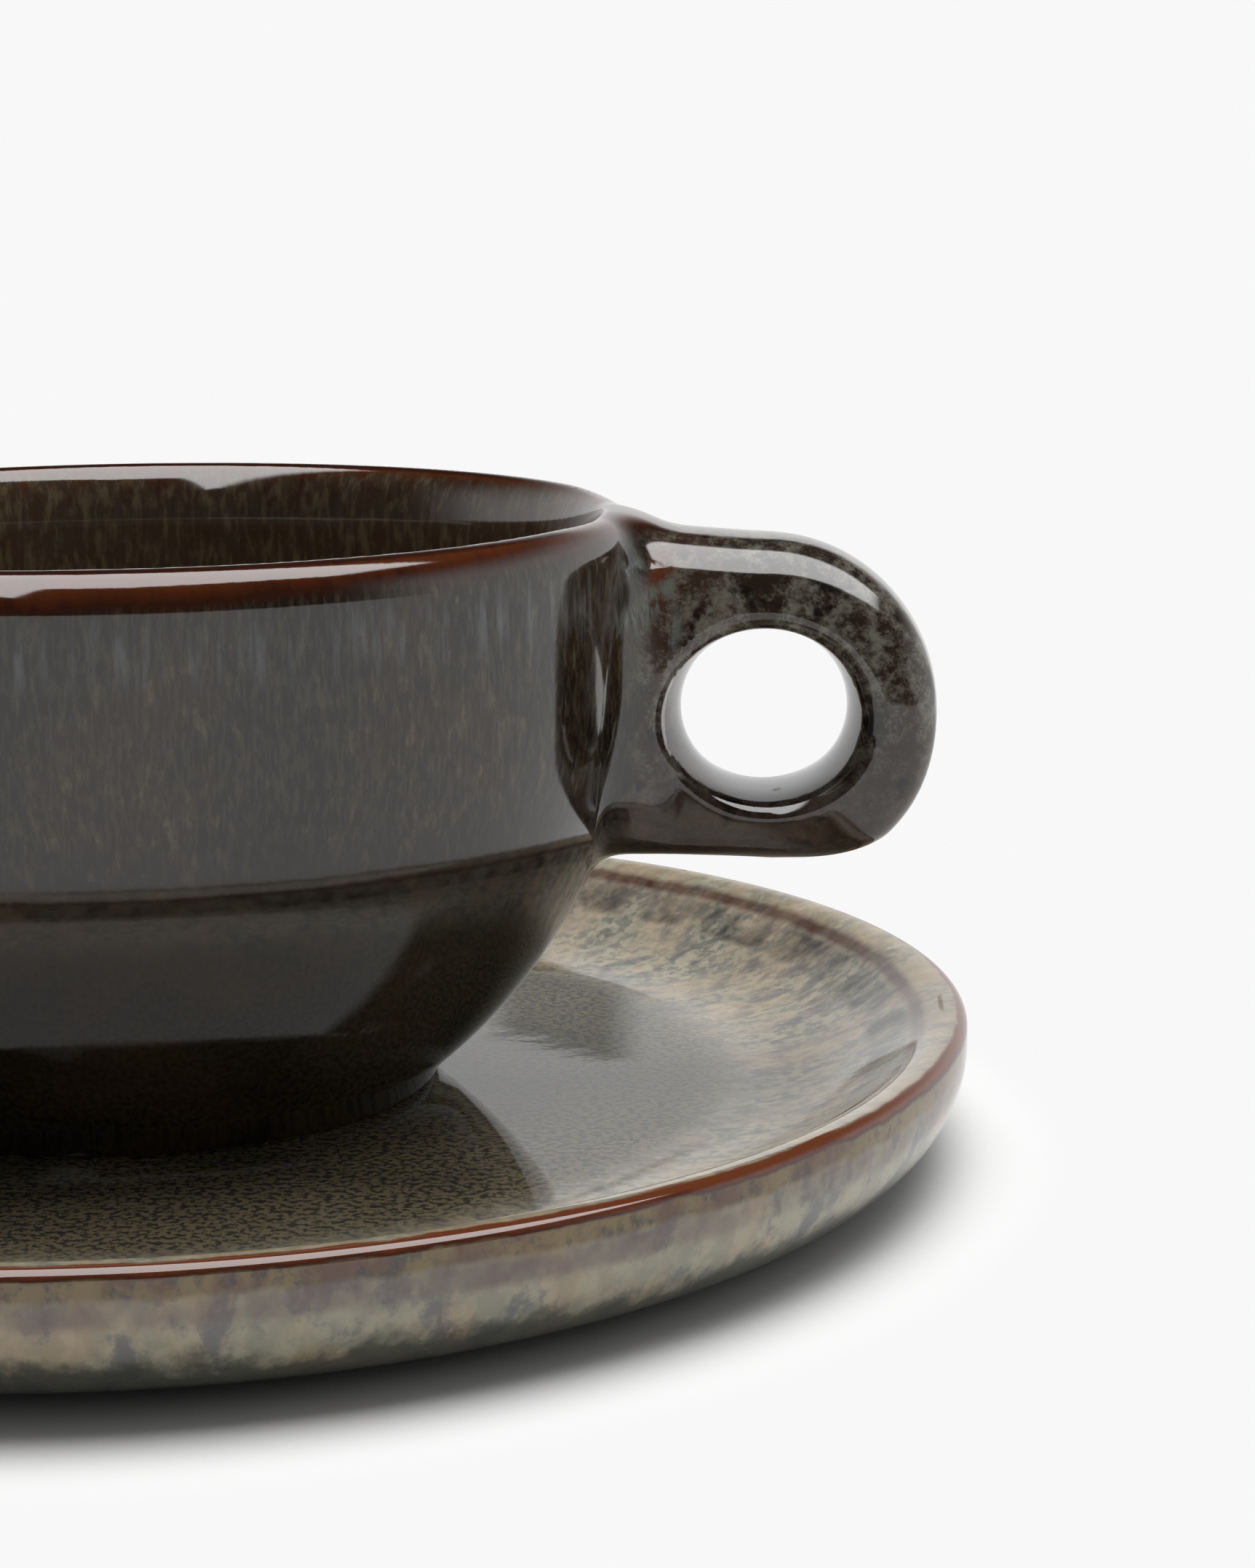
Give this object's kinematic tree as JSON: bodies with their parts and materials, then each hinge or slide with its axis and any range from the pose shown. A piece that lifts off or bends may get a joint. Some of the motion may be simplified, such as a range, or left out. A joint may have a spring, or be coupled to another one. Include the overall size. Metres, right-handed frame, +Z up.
{
  "type": "cappuccino cup with saucer",
  "caption": "Glazed stoneware cappuccino cup with a round bowl and a thick ring handle, standing on a flat-floored saucer with an upturned rim.",
  "frame": {"origin": "centre of the saucer's foot ring, on the surface that it stands on", "axes": "+Z up along the axis of the cup and saucer, +X towards the handle"},
  "size_m": [0.152, 0.152, 0.0582],
  "materials": {
    "saucer_glaze": "glossy reactive glaze, olive and tan with slate-blue flecks and a rust-brown rim",
    "cup_glaze": "glossy reactive glaze, brown-black with fine upright tan streaks and a rust-brown lip",
    "handle_glaze": "glossy reactive glaze, mottled grey-brown with rust-brown edges"
  },
  "bodies": {
    "saucer": {"saucer": "saucer_glaze"},
    "cup": {"cup_body": "cup_glaze", "cup_handle": "handle_glaze"}
  },
  "joints": [
    {"name": "cup_lift", "type": "slide", "parent": "saucer", "child": "cup", "axis": [0, 0, 1], "range_m": [0, 0.08]}
  ]
}
